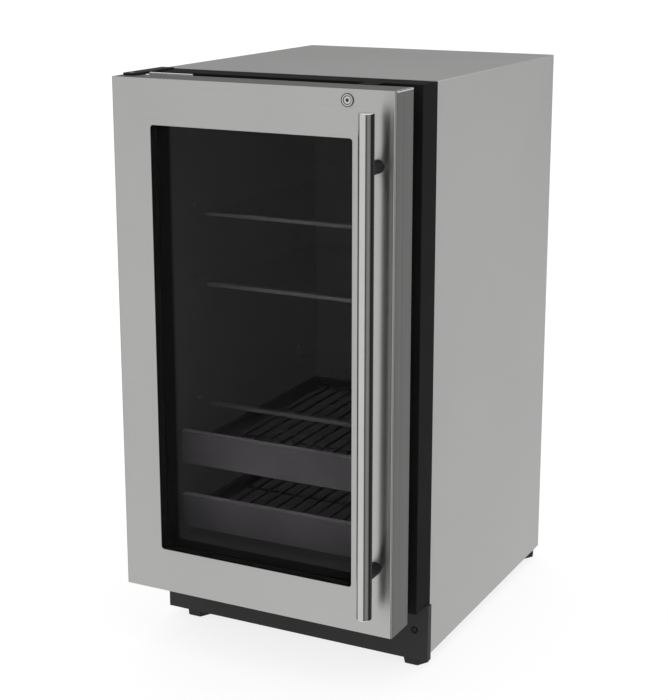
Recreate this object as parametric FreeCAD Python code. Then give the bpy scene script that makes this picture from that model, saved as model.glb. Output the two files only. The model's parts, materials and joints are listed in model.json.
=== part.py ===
import FreeCAD, Part
import math
import os

# Undercounter refrigerator with a left-hinged glass door.
# Millimetres. x runs to the right, y runs from the cabinet face towards the back, z is up from the floor.
# Parts are drawn with y = 0 at the front edge of the steel wrapper, and moved to the row frame on export.

# ---- driving dimensions: cabinet -------------------------------------------
CAB_W = 451.0            # steel wrapper, side to side
CAB_D = 485.0            # steel wrapper, front edge to back edge
CAB_TOP = 884.0          # top of the wrapper above the floor, feet screwed in
WRAP_BOTTOM = 19.0
WRAP_EDGE_R = 1.6
SHEET = 1.2              # wrapper, kick and back sheet
WALL = 38.0              # wrapper's outside to the liner's inside
LINER_T = 1.5
COLLAR_D = 50.0          # black frame in front of the wrapper
COLLAR_TOP = CAB_TOP - 0.5
COLLAR_BOTTOM = 104.0
COLLAR_GAP = 0.2         # around the liner where it runs through the frame
CEILING = 842.0          # the liner's inside
FLOOR = 150.0
LINER_BACK = 455.0
HUMP_FRONT = 262.0       # the raised floor over the compressor
HUMP_TOP = 240.0
HUMP_UNDER = 205.0
MACHINE_FRONT = 300.0    # front of the raised machine space
PAN_T = 2.0
PAN_BACK_H = 25.0
POST_W = 34.0            # front corner posts of the base pan
POST_FACE = -9.6
SOCKET_R = 9.3
SOCKET_H = 26.0
KICK_FACE = -14.0
KICK_HALF_W = 229.0
KICK_BOTTOM = 13.0
KICK_SCREW_X = 206.6
KICK_SCREW_Z = 61.0
DIMPLE_R = 6.2           # the pressed cup that each kick screw sits in
DIMPLE_FLOOR_R = 4.2
REAR_COVER_BACK = CAB_D + 8.0
REAR_COVER_HALF_W = 214.0
REAR_COVER_Z = (26.0, 216.0)

# ---- driving dimensions: machine space --------------------------------------
COMPRESSOR = (70.0, 394.0)
COMPRESSOR_R = 62.0
COMPRESSOR_TOP = 196.0
COMPRESSOR_FOOT = (62.0, 48.0)           # its feet, from its middle
GROMMET_H = 12.0
FAN_SHAFT_R = 1.5
FAN_BORE_START = 2.0                     # how deep the hub's bore stops short of its nose
FAN_TO_MOTOR = 2.5
CONDENSER_FAN = (-60.0, 147.0, 63.0)     # nose of the hub
EVAPORATOR_FAN = (0.0, 433.0, 735.0)
COIL_Y = (42.0, 80.0)
COIL_Z = (40.0, 66.0, 92.0)
COIL_HALF_W = 168.0
COIL_TUBE_R = 4.0
DISCHARGE_Z = 92.0
GLAND_X = -134.0
GLAND_Z = 104.0
GLAND_R = 8.0
GLAND_BORE_R = 4.5

# ---- driving dimensions: food space -----------------------------------------
COVER_FRONT = 427.0
COVER_T = 2.0
COVER_RIBS = (679.0, 517.0, 377.0)       # heights of the ribs across the evaporator cover
COVER_RETURN_X = 170.0
SHELF_TOPS = {"upper": 660.0, "middle": 547.0, "lower": 350.5}
SHELF_FRONT = 45.0
SHELF_BACK = 412.0
SHELF_HALF_W = 183.0
SHELF_GLASS_T = 4.0
TRIM_H = 6.4
RACK_FRONTS = {"upper": (276.0, 328.5), "lower": (171.7, 224.2)}
RACK_FACE = -45.0
RACK_FACE_T = 3.0
RACK_HALF_W = 180.0
RACK_RAIL_X = 168.0
RACK_BACKS = {"upper": 405.0, "lower": 248.0}
RACK_WIRE_R = 2.4
RACK_PITCH = 24.0

# ---- driving dimensions: door -------------------------------------------------
DOOR_W = 451.0
DOOR_X = -1.2            # the door hangs a little towards its hinges
DOOR_TOP = CAB_TOP - 1.1
DOOR_BOTTOM = 101.1
DOOR_T = 55.7
DOOR_BACK = -79.6
DOOR_EDGE_R = 3.0
SKIN_T = 1.0
WINDOW_HALF_W = 161.2
WINDOW_BOTTOM = 168.4
WINDOW_TOP = 816.5
WINDOW_R = 4.5
GLASS_LAP = 11.0         # how far the glass runs behind the steel
GLASS_T = 4.0
GLASS_GAP = 0.15
SPACER_T = 12.0
BEZEL_BACK = -87.0       # from here to the back of the door the opening is wider
BEZEL_STEP = 8.0
LINER_FRAME_BACK = -65.0
LINER_FLANGE_T = 1.2     # the flange that closes the back of the door
LINER_FRAME_HALF_W = 206.0
LINER_FRAME_Z = (126.0, 860.0)
GASKET_W = 16.0
GASKET_CLEAR = 0.3       # to the frame that it closes on
HANDLE_X = 198.0
HANDLE_R = 11.0
HANDLE_END_R = 2.0
HANDLE_OUT = 36.0        # bar's axis in front of the door
HANDLE_Z = (142.0, 857.0)
POST_R = 9.5
POST_Z = (205.4, 781.4)
STUD_R = 3.0
STUD_LEN = 22.0

# ---- driving dimensions: hinges and lock ---------------------------------------
PIVOT_X = -212.0         # the door's upright hinge axis
PIVOT_Y = -104.0
PIN_R = 4.0
RUNNING = 0.05           # radial running clearance
BUSH_R = 7.0
BUSH_LEN = 16.0
PIN_PROUD = 0.6
HINGE_PLATE_X = (-222.0, -122.0)
HINGE_PLATE_T = 2.0
LIP_START = -196.0       # the bright lip at the back of the door's plate
LIP_H = 2.2
ARM_X = (-223.5, -201.5)
ARM_REACH = 11.0         # past the hinge axis
ARM_BACK = -6.0
ARM_END_R = 8.0
ARM_T = 3.5
ARM_TOP = 100.4
UPPER_ARM_T = 2.5
UPPER_SCREWS = ((-212.5, -38.0), (-212.5, -16.0))
LOWER_SCREWS = ((-218.0, 78.0), (-207.0, 78.0))
LOWER_FLANGE_Y = (-12.6, POST_FACE)
LOWER_FLANGE_BOTTOM = 71.0
LOCK_X = 152.6
LOCK_Z = 867.7
LOCK_FLANGE_R = 9.2
LOCK_BARREL_R = 8.0
PLUG_R = 5.5
KEYHOLE_R = 2.4
CAM_Y = (-77.0, -74.6)
CAM_REACH = 13.4
CAM_HALF_H = 4.8
STRIKE_HALF_W = 14.0

# ---- driving dimensions: feet and screws ---------------------------------------
FOOT_R = 21.0            # foot pad, centre to corner
FOOT_SPOTS = {"front_left": (-186.0, 10.5), "front_right": (199.5, 10.5),
              "rear_left": (-199.5, 473.5), "rear_right": (199.5, 473.5)}
FOOT_H = 17.0
SHANK_R = 5.0
SCREW_R = 2.0
SUNK_DEPTH = 1.1

# ---- values worked out from them ------------------------------------------------
HALF_W = CAB_W / 2
IN_X = HALF_W - WALL                     # liner's inside, half width
OUT_X = IN_X + LINER_T                   # liner's outside
FOAM_X = HALF_W - SHEET
FOAM_TOP = CAB_TOP - SHEET
FOAM_BACK = CAB_D - SHEET
PAN_TOP = WRAP_BOTTOM + PAN_T
GROMMET_TOP = PAN_TOP + GROMMET_H
DOOR_FRONT = DOOR_BACK - DOOR_T
DOOR_LEFT = DOOR_X - DOOR_W / 2
DOOR_RIGHT = DOOR_X + DOOR_W / 2
WINDOW_X = (DOOR_X - WINDOW_HALF_W, DOOR_X + WINDOW_HALF_W)
WINDOW_Z = (WINDOW_BOTTOM, WINDOW_TOP)
LAP_X = (WINDOW_X[0] - GLASS_LAP, WINDOW_X[1] + GLASS_LAP)
LAP_Z = (WINDOW_Z[0] - GLASS_LAP, WINDOW_Z[1] + GLASS_LAP)
GLASS_Y = DOOR_FRONT + SKIN_T + GLASS_GAP
INNER_GLASS_Y = GLASS_Y + GLASS_T + SPACER_T
BEZEL_FRONT = INNER_GLASS_Y + GLASS_T
CORE_BACK = DOOR_BACK - LINER_FLANGE_T
LINER_FRAME_X = (DOOR_X - LINER_FRAME_HALF_W, DOOR_X + LINER_FRAME_HALF_W)
GASKET_Y = (LINER_FRAME_BACK, -COLLAR_D - GASKET_CLEAR)
HANDLE_Y = DOOR_FRONT - HANDLE_OUT
HINGE_PLATE_Y = (DOOR_FRONT + 5, DOOR_BACK - 1.2)
ARM_FRONT = PIVOT_Y - ARM_REACH
UPPER_ARM_Z = (COLLAR_TOP, COLLAR_TOP + UPPER_ARM_T)
LOWER_ARM_Z = (ARM_TOP - ARM_T, ARM_TOP)
ROW_Y = -(REAR_COVER_BACK + HANDLE_Y - HANDLE_R) / 2     # puts the origin in the middle of the whole depth
ANY = (-2000.0, 2000.0)


# ---- helpers ---------------------------------------------------------------
def box(x, y, z):
    return Part.makeBox(x[1] - x[0], y[1] - y[0], z[1] - z[0], FreeCAD.Vector(x[0], y[0], z[0]))


def rod(centre, radius, length, axis=(0, 0, 1)):
    """A cylinder that starts at centre and runs along axis."""
    return Part.makeCylinder(radius, length, FreeCAD.Vector(*centre), FreeCAD.Vector(*axis))


def hexagon(centre, corner_r, height, top_r=None):
    """A six-sided block with a flat facing the front, wider at the top if top_r says so."""
    def outline(radius, z):
        points = [FreeCAD.Vector(centre[0] + radius * math.cos(math.radians(60 * i)),
                                 centre[1] + radius * math.sin(math.radians(60 * i)), z) for i in range(7)]
        return Part.makePolygon(points)
    low = outline(corner_r, centre[2])
    high = outline(top_r or corner_r, centre[2] + height)
    return Part.makeLoft([low, high], True)


def fuse(shapes):
    shapes = list(shapes)
    return shapes[0].multiFuse(shapes[1:]).removeSplitter() if len(shapes) > 1 else shapes[0]


def cut(shape, tools):
    return shape.cut(list(tools))


def frame_bars(outer_x, outer_z, inner_x, inner_z, y):
    """A rectangular frame made of two uprights and two cross bars."""
    return [box((outer_x[0], inner_x[0]), y, outer_z),
            box((inner_x[1], outer_x[1]), y, outer_z),
            box(inner_x, y, (outer_z[0], inner_z[0])),
            box(inner_x, y, (inner_z[1], outer_z[1]))]


def round_edges(shape, radius, wanted):
    """Round the straight edges for which wanted(edge) is true."""
    edges = [e for e in shape.Edges if wanted(e)]
    return shape.makeFillet(radius, edges)


def is_along(edge, axis):
    a, b = edge.Vertexes[0].Point, edge.Vertexes[-1].Point
    d = b - a
    others = [abs(v) for i, v in enumerate((d.x, d.y, d.z)) if i != axis]
    return max(others) < 1e-6 and d.Length > 1e-6


def pipe(points, radius, bend):
    """A tube of straight runs joined by tangent arcs of one bend radius."""
    points = [FreeCAD.Vector(*p) for p in points]
    edges = []
    start = points[0]
    for before, corner, after in zip(points, points[1:], points[2:]):
        into = (corner - before).normalize()
        out = (after - corner).normalize()
        half_turn = into.getAngle(out) / 2
        reach = bend * math.tan(half_turn)
        first, last = corner - into * reach, corner + out * reach
        inward = (out - into).normalize()
        middle = corner + inward * (bend / math.cos(half_turn) - bend)
        edges += [Part.LineSegment(start, first).toShape(), Part.Arc(first, middle, last).toShape()]
        start = last
    edges.append(Part.LineSegment(start, points[-1]).toShape())
    ring = Part.Wire([Part.makeCircle(radius, points[0], points[1] - points[0])])
    return Part.Wire(edges).makePipeShell([ring], True, False)


nodes = {}


def add(name, *shapes):
    nodes[name] = list(shapes)


# ---- cabinet body ----------------------------------------------------------
def outer_wrapper():
    shell = box((-HALF_W, HALF_W), (0, CAB_D), (WRAP_BOTTOM, CAB_TOP))
    shell = round_edges(shell, WRAP_EDGE_R, lambda e: is_along(e, 1) and e.CenterOfMass.z > CAB_TOP - 1)
    inside = box((-FOAM_X, FOAM_X), ANY, (0, FOAM_TOP))
    add("outer_wrapper", cut(shell, [inside]))


def rear_panel():
    """The back sheet, with a strip down each side of the machine space."""
    y = (CAB_D - SHEET, CAB_D)
    panel = box((-FOAM_X, FOAM_X), y, (HUMP_UNDER, FOAM_TOP))
    strips = [box(x, y, (WRAP_BOTTOM, HUMP_UNDER)) for x in ((-FOAM_X, -OUT_X), (OUT_X, FOAM_X))]
    add("rear_panel", panel, *strips)


def base_pan():
    """The steel floor of the machine space, with the walls, corner posts and foot sockets welded on it."""
    floor = box((-FOAM_X, FOAM_X), (POST_FACE, FOAM_BACK), (WRAP_BOTTOM, PAN_TOP))
    back_x = (-FOAM_X + PAN_T, FOAM_X - PAN_T)
    back = box(back_x, (FOAM_BACK - PAN_T, FOAM_BACK), (PAN_TOP, PAN_TOP + PAN_BACK_H))
    walls = []
    for side in (-1, 1):
        wall = sorted((side * (FOAM_X - PAN_T), side * FOAM_X))
        post = sorted((side * (FOAM_X - POST_W), side * FOAM_X))
        walls.append(box(wall, (POST_FACE + PAN_T, FOAM_BACK), (PAN_TOP, COLLAR_BOTTOM)))
        walls.append(box(post, (POST_FACE, POST_FACE + PAN_T), (PAN_TOP, COLLAR_BOTTOM)))
    sockets = [rod((x, y, PAN_TOP), SOCKET_R, SOCKET_H - PAN_T) for x, y in FOOT_SPOTS.values()]
    bores = [rod((x, y, 0), SHANK_R, 60) for x, y in FOOT_SPOTS.values()]
    add("base_pan", cut(floor, bores), back, *walls, *[cut(socket, bores) for socket in sockets])


def foam_insulation():
    back = FOAM_BACK
    side_z = (COLLAR_BOTTOM, FOAM_TOP)
    add("foam_insulation",
        box((-FOAM_X, -OUT_X), (0, back), side_z),
        box((OUT_X, FOAM_X), (0, back), side_z),
        box((-OUT_X, OUT_X), (0, LINER_BACK + LINER_T), (CEILING + LINER_T, FOAM_TOP)),
        box((-OUT_X, OUT_X), (0, MACHINE_FRONT), (COLLAR_BOTTOM, FLOOR - LINER_T)),
        box((-OUT_X, OUT_X), (HUMP_FRONT + LINER_T, MACHINE_FRONT), (FLOOR - LINER_T, HUMP_UNDER)),
        box((-OUT_X, OUT_X), (HUMP_FRONT + LINER_T, LINER_BACK + LINER_T), (HUMP_UNDER, HUMP_TOP - LINER_T)),
        box((-OUT_X, OUT_X), (LINER_BACK + LINER_T, back), (HUMP_UNDER, FOAM_TOP)))


def inner_liner():
    def room(x, front, back, low, high, step_y, step_z):
        whole = box((-x, x), (front, back), (low, high))
        return cut(whole, [box(ANY, (step_y, 2000), (0, step_z))])
    outside = room(OUT_X, -COLLAR_D, LINER_BACK + LINER_T, FLOOR - LINER_T, CEILING + LINER_T,
                   HUMP_FRONT + LINER_T, HUMP_TOP - LINER_T)
    inside = room(IN_X, -COLLAR_D - 10, LINER_BACK, FLOOR, CEILING, HUMP_FRONT, HUMP_TOP)
    add("inner_liner", cut(outside, [inside]))


def front_collar():
    gap = COLLAR_GAP
    bars = frame_bars((-HALF_W, HALF_W), (COLLAR_BOTTOM, COLLAR_TOP), (-OUT_X - gap, OUT_X + gap),
                      (FLOOR - LINER_T - gap, CEILING + LINER_T + gap), (-COLLAR_D, 0))
    add("front_collar", *bars)


# ---- machine space ---------------------------------------------------------
def compressor():
    x, y = COMPRESSOR
    low, high, r = GROMMET_TOP + 4, COMPRESSOR_TOP, COMPRESSOR_R
    foot_x, foot_y = COMPRESSOR_FOOT
    waist = (low + high) / 2
    profile = Part.Wire([
        Part.LineSegment(FreeCAD.Vector(0, 0, low), FreeCAD.Vector(r - 26, 0, low)).toShape(),
        Part.Arc(FreeCAD.Vector(r - 26, 0, low), FreeCAD.Vector(r - 6, 0, low + 12),
                 FreeCAD.Vector(r, 0, low + 40)).toShape(),
        Part.LineSegment(FreeCAD.Vector(r, 0, low + 40), FreeCAD.Vector(r, 0, waist + 4)).toShape(),
        Part.Arc(FreeCAD.Vector(r, 0, waist + 4), FreeCAD.Vector(r - 12, 0, high - 18),
                 FreeCAD.Vector(r - 40, 0, high)).toShape(),
        Part.LineSegment(FreeCAD.Vector(r - 40, 0, high), FreeCAD.Vector(0, 0, high)).toShape(),
        Part.LineSegment(FreeCAD.Vector(0, 0, high), FreeCAD.Vector(0, 0, low)).toShape()])
    shell = Part.Face(profile).revolve(FreeCAD.Vector(0, 0, 0), FreeCAD.Vector(0, 0, 1), 360)
    weld = rod((0, 0, waist), r + 3, 4)
    plate = box((-foot_x - 10, foot_x + 10), (-foot_y - 10, foot_y + 10), (GROMMET_TOP, GROMMET_TOP + 4.5))
    body = fuse([shell, weld, plate])
    bolts = [rod((sx * foot_x, sy * foot_y, 0), 4.5, 60) for sx in (-1, 1) for sy in (-1, 1)]
    body = cut(body, bolts)
    body.translate(FreeCAD.Vector(x, y, 0))
    add("compressor", body)
    grommets = []
    for sx in (-1, 1):
        for sy in (-1, 1):
            spot = (x + sx * foot_x, y + sy * foot_y)
            foot = rod((*spot, PAN_TOP), 9, GROMMET_H)
            neck = rod((*spot, GROMMET_TOP), 4.4, 7)
            grommets.append(fuse([foot, neck]))
    add("compressor_grommets", *grommets)


def condenser_coil():
    r, reach = COIL_TUBE_R, COIL_HALF_W
    tubes = [rod((-reach, y, z), r, 2 * reach, (1, 0, 0)) for y in COIL_Y for z in COIL_Z]
    bends = []
    for y in COIL_Y:
        for side, z, above in ((1, COIL_Z[0], COIL_Z[1]), (-1, COIL_Z[1], COIL_Z[2])):
            bends.append(box(sorted((side * reach, side * (reach + r))), (y - r, y + r), (z - r, above + r)))
    fin_y = (COIL_Y[0] - 16, COIL_Y[1] + 16)
    fins = [box((x - 0.5, x + 0.5), fin_y, (28, 100)) for x in range(-160, 161, 16)]
    add("condenser_coil", fuse(tubes + bends + fins))


def fan_wheel(nose, hub_r, tip_r, depth, blades):
    """A fan with slanted blades on a hub, turning about an axis along y."""
    parts = [rod((0, 0, 0), hub_r, depth, (0, 1, 0))]
    slant = math.degrees(math.atan2(depth * 0.72, tip_r * 0.55))
    for i in range(blades):
        blade = box((-tip_r * 0.24, tip_r * 0.24), (-0.8, 0.8), (hub_r - 2, tip_r + 2))
        blade.rotate(FreeCAD.Vector(0, 0, 0), FreeCAD.Vector(0, 0, 1), slant)
        blade.translate(FreeCAD.Vector(0, depth / 2, 0))
        blade.rotate(FreeCAD.Vector(0, 0, 0), FreeCAD.Vector(0, 1, 0), i * 360 / blades)
        parts.append(blade)
    wheel = fuse(parts).common(rod((0, -20, 0), tip_r, 60, (0, 1, 0)))
    wheel = cut(wheel, [rod((0, FAN_BORE_START, 0), FAN_SHAFT_R + RUNNING, depth, (0, 1, 0))])
    wheel.translate(FreeCAD.Vector(*nose))
    return wheel


def fan_motor(nose, wheel_depth, radius, depth):
    """A round motor behind the wheel, with a shaft that reaches into the hub's bore."""
    x, y, z = nose
    face = y + wheel_depth + FAN_TO_MOTOR
    shaft_tip = y + FAN_BORE_START + 0.3
    can = rod((x, face, z), radius, depth, (0, 1, 0))
    shaft = rod((x, shaft_tip, z), FAN_SHAFT_R, face - shaft_tip + 1, (0, 1, 0))
    return fuse([can, shaft])


def condenser_fan():
    x, y, z = CONDENSER_FAN
    depth, motor_r = 12, 16
    add("condenser_fan", fan_wheel(CONDENSER_FAN, 13, 34, depth, 5))
    add("condenser_fan_motor", fan_motor(CONDENSER_FAN, depth, motor_r, 28))
    plate = cut(box((x - 52, x + 52), (y + 1, y + depth + 2), (PAN_TOP, COLLAR_BOTTOM - 1)),
                [rod((x, y, z), 37, depth + 10, (0, 1, 0))])
    arm_y = (y + depth + 2, y + depth + 5)
    arms = [box((x - 44, x + 44), arm_y, (z - 3, z + 3)), box((x - 3, x + 3), arm_y, (z - 39, z + 39)),
            rod((x, arm_y[0], z), motor_r + 2, 3, (0, 1, 0))]
    shroud = cut(fuse([plate] + arms), [rod((x, y, z), motor_r, 60, (0, 1, 0))])
    add("condenser_fan_shroud", shroud)


def drain_pan():
    x, y, z = (-196.0, -16.0), (312.0, 452.0), (PAN_TOP + 1, PAN_TOP + 26)
    tray = box(x, y, z)
    hollow = box((x[0] + 2, x[1] - 2), (y[0] + 2, y[1] - 2), (z[0] + 2, z[1] + 1))
    add("drain_pan", cut(tray, [hollow]))


def refrigerant_tubing():
    cx, cy = COMPRESSOR
    level = DISCHARGE_Z
    discharge = pipe([(cx - 58, cy, level), (cx - 92, cy, level), (cx - 92, 262, level), (176, 262, level),
                      (176, 80, level), (165, 80, level)], 3.2, 8)
    suction = pipe([(cx, cy + 58, 150), (cx, 472, 150), (cx, 472, 224), (cx, 443, 224), (cx, 443, 378)],
                   4.0, 9)
    add("refrigerant_tubing", discharge, suction)


def rear_cover():
    half, (low, high) = REAR_COVER_HALF_W, REAR_COVER_Z
    outer = box((-half, half), (CAB_D, REAR_COVER_BACK), (low, high))
    outer = round_edges(outer, 3, lambda e: e.CenterOfMass.y > REAR_COVER_BACK - 0.1)
    hollow_y = (CAB_D - 1, REAR_COVER_BACK - SHEET)
    hollow = box((-half + SHEET, half - SHEET), hollow_y, (low + SHEET, high - SHEET))
    slots = []
    for column in range(-7, 8):
        if column in (-6, -5, -4):
            continue
        for row in range(6):
            x, z = column * 26.0, 52.0 + row * 26.0
            slots.append(box((x - 9, x + 9), ANY, (z - 2.5, z + 2.5)))
    gland = rod((GLAND_X, CAB_D - 1, GLAND_Z), GLAND_R, 20, (0, 1, 0))
    add("rear_cover", cut(outer, [hollow] + slots + [gland]))


def cord_gland():
    back = REAR_COVER_BACK
    body = rod((GLAND_X, CAB_D - 8, GLAND_Z), GLAND_R, back - CAB_D + 8, (0, 1, 0))
    inner_lip = rod((GLAND_X, back - 4.2, GLAND_Z), GLAND_R + 3, 3, (0, 1, 0))
    bore = rod((GLAND_X, CAB_D - 20, GLAND_Z), GLAND_BORE_R, 40, (0, 1, 0))
    add("cord_gland", cut(fuse([body, inner_lip]), [bore]))


# ---- inside the food space -------------------------------------------------
def evaporator_cover():
    """A ribbed plastic wall with slots for the air, and two returns that stand it off the liner's back."""
    wall = box((-IN_X, IN_X), (COVER_FRONT, COVER_FRONT + COVER_T), (HUMP_TOP, CEILING))
    ribs = [box((-IN_X, IN_X), (COVER_FRONT - 1, COVER_FRONT), (z - 1.5, z + 1.5)) for z in COVER_RIBS]
    inlet = [box((x - 2, x + 2), ANY, (287, 313)) for x in range(-162, 163, 9)]
    outlet = [box((x - 2, x + 2), ANY, (700, 770)) for x in range(-36, 37, 9)]
    returns = [box((x - 2, x + 2), (COVER_FRONT + COVER_T, LINER_BACK), (HUMP_TOP + 12, CEILING - 12))
               for x in (-COVER_RETURN_X, COVER_RETURN_X)]
    add("evaporator_cover", cut(fuse([wall] + ribs), inlet + outlet), *returns)


def evaporator_coil():
    tubes = [rod((-118, 443, z), 3.5, 236, (1, 0, 0)) for z in range(380, 621, 30)]
    bends = []
    for i, z in enumerate(range(380, 591, 30)):
        side = 1 if i % 2 else -1
        bends.append(box(sorted((side * 118, side * 122)), (439.5, 446.5), (z - 3.5, z + 33.5)))
    fins = [box((x - 0.4, x + 0.4), (433, 453), (370, 630)) for x in range(-108, 109, 12)]
    add("evaporator_coil", fuse(tubes + bends + fins))


def evaporator_fan():
    x, y, z = EVAPORATOR_FAN
    depth, motor_depth = 8, 9
    add("evaporator_fan", fan_wheel(EVAPORATOR_FAN, 12, 42, depth, 7))
    motor = fan_motor(EVAPORATOR_FAN, depth, 15, motor_depth)
    strap = box((x - 60, x + 60), (y + depth + FAN_TO_MOTOR + motor_depth - 1, LINER_BACK), (z - 6, z + 6))
    add("evaporator_fan_motor", fuse([motor, strap]))


def light_strip():
    strip = box((-130, 130), (8, 22), (CEILING - 5, CEILING))
    add("light_strip", round_edges(strip, 2, lambda e: is_along(e, 0) and e.CenterOfMass.z < CEILING - 1))


def control_panel():
    case = box((-85, 85), (-38, -2), (CEILING - 15, CEILING))
    case = round_edges(case, 3, lambda e: e.CenterOfMass.z < CEILING - 14)
    add("control_panel", case)


def shelf_supports():
    """Pegs under and over each shelf's front and back ends."""
    pegs = []
    for top in SHELF_TOPS.values():
        for side in (-1, 1):
            x = sorted((side * (IN_X - 6), side * IN_X))
            for y in (58, 356):
                below = box(x, (y, y + 16), (top - 11.3, top - 5.3))
                pegs.append(round_edges(below, 1.5, lambda e: is_along(e, 1)))
            for y in (17, 354):
                above = box(x, (y, y + 14), (top + 12, top + 18))
                pegs.append(round_edges(above, 1.5, lambda e: is_along(e, 1)))
    return pegs


def rack_rails():
    rails = []
    for level, (low, high) in RACK_FRONTS.items():
        for side in (-1, 1):
            x = sorted((side * (IN_X - 12), side * IN_X))
            rails.append(box(x, (-30, RACK_BACKS[level] + 4), (low + 0.7, low + 3.7)))
    return rails


def shelf(level, top):
    low = top - TRIM_H
    glass_x = (-SHELF_HALF_W + 2, SHELF_HALF_W - 2)
    glass_z = (top - 1 - SHELF_GLASS_T, top - 1)
    glass = box(glass_x, (SHELF_FRONT + 3, SHELF_BACK), glass_z)
    bar = box((-SHELF_HALF_W, SHELF_HALF_W), (SHELF_FRONT, SHELF_FRONT + 9), (low, top))
    bar = round_edges(bar, 1.2, lambda e: is_along(e, 0) and e.CenterOfMass.y < SHELF_FRONT + 1)
    bar = cut(bar, [box(glass_x, (SHELF_FRONT + 3, 2000), glass_z)])
    add(f"shelf_{level}_glass", glass)
    add(f"shelf_{level}_trim", bar)


def rack(level, low, high):
    """A bottle rack: a moulded front, two side rails, a rear rail and a deck of wires between end strips."""
    front_y, back = RACK_FACE + RACK_FACE_T, RACK_BACKS[level]
    half, rail_x = RACK_HALF_W, RACK_RAIL_X
    face = box((-half, half), (RACK_FACE, front_y), (low, high))
    lip = box((-half, half), (front_y, front_y + 9), (high - 3, high))
    front = fuse([face, lip])
    front = round_edges(front, 1.2, lambda e: is_along(e, 0) and e.CenterOfMass.y < RACK_FACE + 1)
    add(f"rack_{level}_front", front)
    rail_z = (low + 4, low + 24)
    deck = (low + 8, low + 13)
    strip = 8.0
    rear_y = back - 6
    rails = [box((-half + 1, -rail_x), (front_y, back), rail_z),
             box((rail_x, half - 1), (front_y, back), rail_z),
             box((-rail_x, rail_x), (rear_y, back), rail_z)]
    strips = [box((-rail_x, rail_x), (front_y, front_y + strip), deck),
              box((-rail_x, rail_x), (rear_y - strip, rear_y), deck)]
    length = rear_y - front_y - 2 * strip
    wires = [rod((RACK_PITCH * i, front_y + strip, (deck[0] + deck[1]) / 2), RACK_WIRE_R, length, (0, 1, 0))
             for i in range(-6, 7)]
    under = (deck[0] + deck[1]) / 2 - RACK_WIRE_R
    ties = [box((-rail_x, rail_x), (y - 3, y + 3), (under - 2, under))
            for y in (front_y + length / 3, front_y + 2 * length / 3)]
    add(f"rack_{level}_tray", *rails, *strips, *wires, *ties)


# ---- door ------------------------------------------------------------------
def door_blank(inset):
    """The door's outer form, drawn in by inset on every face but the back."""
    x = (DOOR_LEFT + inset, DOOR_RIGHT - inset)
    blank = box(x, (DOOR_FRONT + inset, DOOR_BACK), (DOOR_BOTTOM + inset, DOOR_TOP - inset))
    radius = DOOR_EDGE_R - inset
    return round_edges(blank, radius, lambda e: is_along(e, 2) and e.CenterOfMass.y < DOOR_FRONT + inset + 1)


def window_hole():
    hole = box(WINDOW_X, (DOOR_FRONT - 5, DOOR_FRONT + 5), WINDOW_Z)
    return round_edges(hole, WINDOW_R, lambda e: is_along(e, 1))


def hinge_plate_pocket():
    return box(HINGE_PLATE_X, HINGE_PLATE_Y, (DOOR_TOP - HINGE_PLATE_T, DOOR_TOP + 5))


def bush_pockets():
    upper = rod((PIVOT_X, PIVOT_Y, DOOR_TOP - HINGE_PLATE_T - BUSH_LEN), BUSH_R, BUSH_LEN + 10)
    lower = rod((PIVOT_X, PIVOT_Y, DOOR_BOTTOM - 5), BUSH_R, BUSH_LEN + 5)
    return [upper, lower]


def lock_bore():
    return rod((LOCK_X, DOOR_FRONT - 5, LOCK_Z), LOCK_BARREL_R, DOOR_T + 10, (0, 1, 0))


def post_bores():
    return [rod((HANDLE_X, DOOR_FRONT - 1, z), STUD_R, STUD_LEN, (0, 1, 0)) for z in POST_Z]


def door_skin():
    skin = cut(door_blank(0), [door_blank(SKIN_T), window_hole(), hinge_plate_pocket(), lock_bore()]
               + bush_pockets() + post_bores())
    add("door_skin", skin)


def door_core():
    blank = door_blank(SKIN_T)
    y = (DOOR_FRONT, CORE_BACK)
    left = blank.common(box((DOOR_LEFT, LAP_X[0] - 0.2), y, ANY))
    right = blank.common(box((LAP_X[1] + 0.2, DOOR_RIGHT), y, ANY))
    across = (LAP_X[0] - 0.2, LAP_X[1] + 0.2)
    top = blank.common(box(across, y, (LAP_Z[1] + 0.2, 2000)))
    bottom = blank.common(box(across, y, (0, LAP_Z[0] - 0.2)))
    tools = [hinge_plate_pocket(), lock_bore()] + bush_pockets() + post_bores()
    add("door_core", *[cut(bar, tools) for bar in (left, right, top, bottom)])


def door_glass():
    add("outer_glass", box(LAP_X, (GLASS_Y, GLASS_Y + GLASS_T), LAP_Z))
    add("inner_glass", box(LAP_X, (INNER_GLASS_Y, INNER_GLASS_Y + GLASS_T), LAP_Z))
    add("glass_spacer", *frame_bars(LAP_X, LAP_Z, WINDOW_X, WINDOW_Z, (GLASS_Y + GLASS_T, INNER_GLASS_Y)))


def window_bezel():
    """The black lining of the window, from the inner pane to the door's back."""
    wide_x = (WINDOW_X[0] - BEZEL_STEP, WINDOW_X[1] + BEZEL_STEP)
    wide_z = (WINDOW_Z[0] - BEZEL_STEP, WINDOW_Z[1] + BEZEL_STEP)
    narrow = frame_bars(LAP_X, LAP_Z, WINDOW_X, WINDOW_Z, (BEZEL_FRONT, BEZEL_BACK))
    wide = frame_bars(LAP_X, LAP_Z, wide_x, wide_z, (BEZEL_BACK, DOOR_BACK))
    add("window_bezel", *narrow, *wide)


def door_inner_frame():
    """The moulding on the back of the door: a flange out to the skin, and a raised frame for the seal."""
    flange_x = (DOOR_LEFT + SKIN_T, DOOR_RIGHT - SKIN_T)
    flange_z = (DOOR_BOTTOM + SKIN_T, DOOR_TOP - SKIN_T)
    flange = frame_bars(flange_x, flange_z, LAP_X, LAP_Z, (CORE_BACK, DOOR_BACK))
    raised = frame_bars(LINER_FRAME_X, LINER_FRAME_Z, LAP_X, LAP_Z, (DOOR_BACK, LINER_FRAME_BACK))
    add("door_inner_frame", *[cut(bar, [lock_bore()]) for bar in flange], *raised)


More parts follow.
